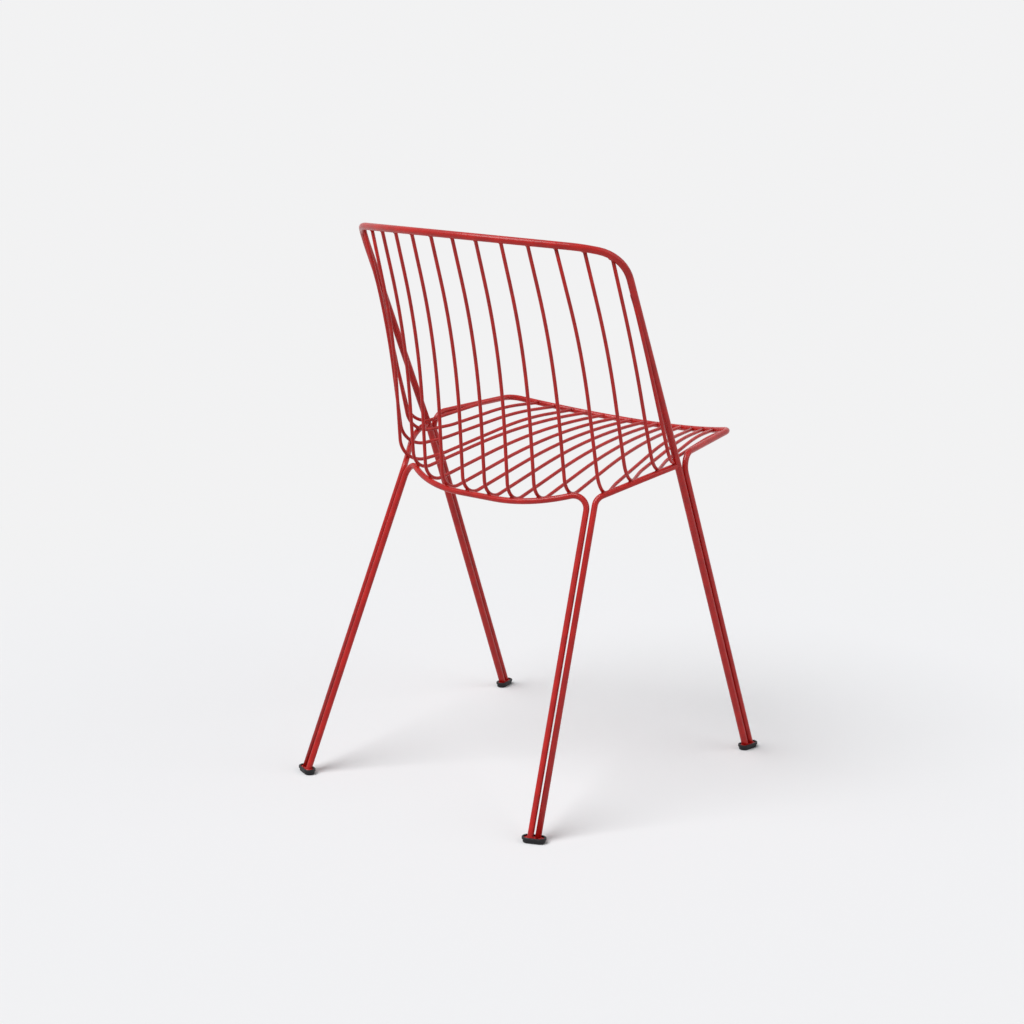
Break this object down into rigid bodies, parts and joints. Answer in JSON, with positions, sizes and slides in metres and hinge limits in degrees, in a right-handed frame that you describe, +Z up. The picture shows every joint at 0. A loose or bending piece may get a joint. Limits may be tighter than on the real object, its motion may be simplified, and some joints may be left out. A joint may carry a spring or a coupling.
{
  "type": "wire chair",
  "caption": "Stacking chair of bent and welded steel rod: a wide back hoop, a frame on splayed paired-rod legs, and wires that run over the seat and up the back.",
  "frame": {"origin": "on the floor, under the middle of the whole chair's box", "axes": "+Z up; the chair faces -Y; +X is the sitter's left; the chair is the same on both sides of the plane X = 0"},
  "size_m": [0.4832, 0.5328, 0.7873],
  "materials": {
    "red_coat": "satin to semi-gloss powder coat",
    "black_plastic": "fine moulded grain"
  },
  "bodies": {
    "root": {"back_hoop": "red_coat", "seat_frame": "red_coat", "rear_rail": "red_coat", "side_rail_left": "red_coat", "side_rail_right": "red_coat", "seat_back_wire_01": "red_coat", "seat_back_wire_02": "red_coat", "seat_back_wire_03": "red_coat", "seat_back_wire_04": "red_coat", "seat_back_wire_05": "red_coat", "seat_back_wire_06": "red_coat", "seat_back_wire_07": "red_coat", "seat_back_wire_08": "red_coat", "seat_back_wire_09": "red_coat", "seat_back_wire_10": "red_coat", "seat_back_wire_11": "red_coat", "seat_back_wire_12": "red_coat", "seat_back_wire_13": "red_coat", "seat_back_wire_14": "red_coat", "seat_back_wire_15": "red_coat", "seat_back_wire_16": "red_coat", "foot_plate_front_left": "red_coat", "foot_plate_front_right": "red_coat", "foot_plate_rear_left": "red_coat", "foot_plate_rear_right": "red_coat", "glide_front_left": "black_plastic", "glide_front_right": "black_plastic", "glide_rear_left": "black_plastic", "glide_rear_right": "black_plastic"}
  },
  "joints": []
}
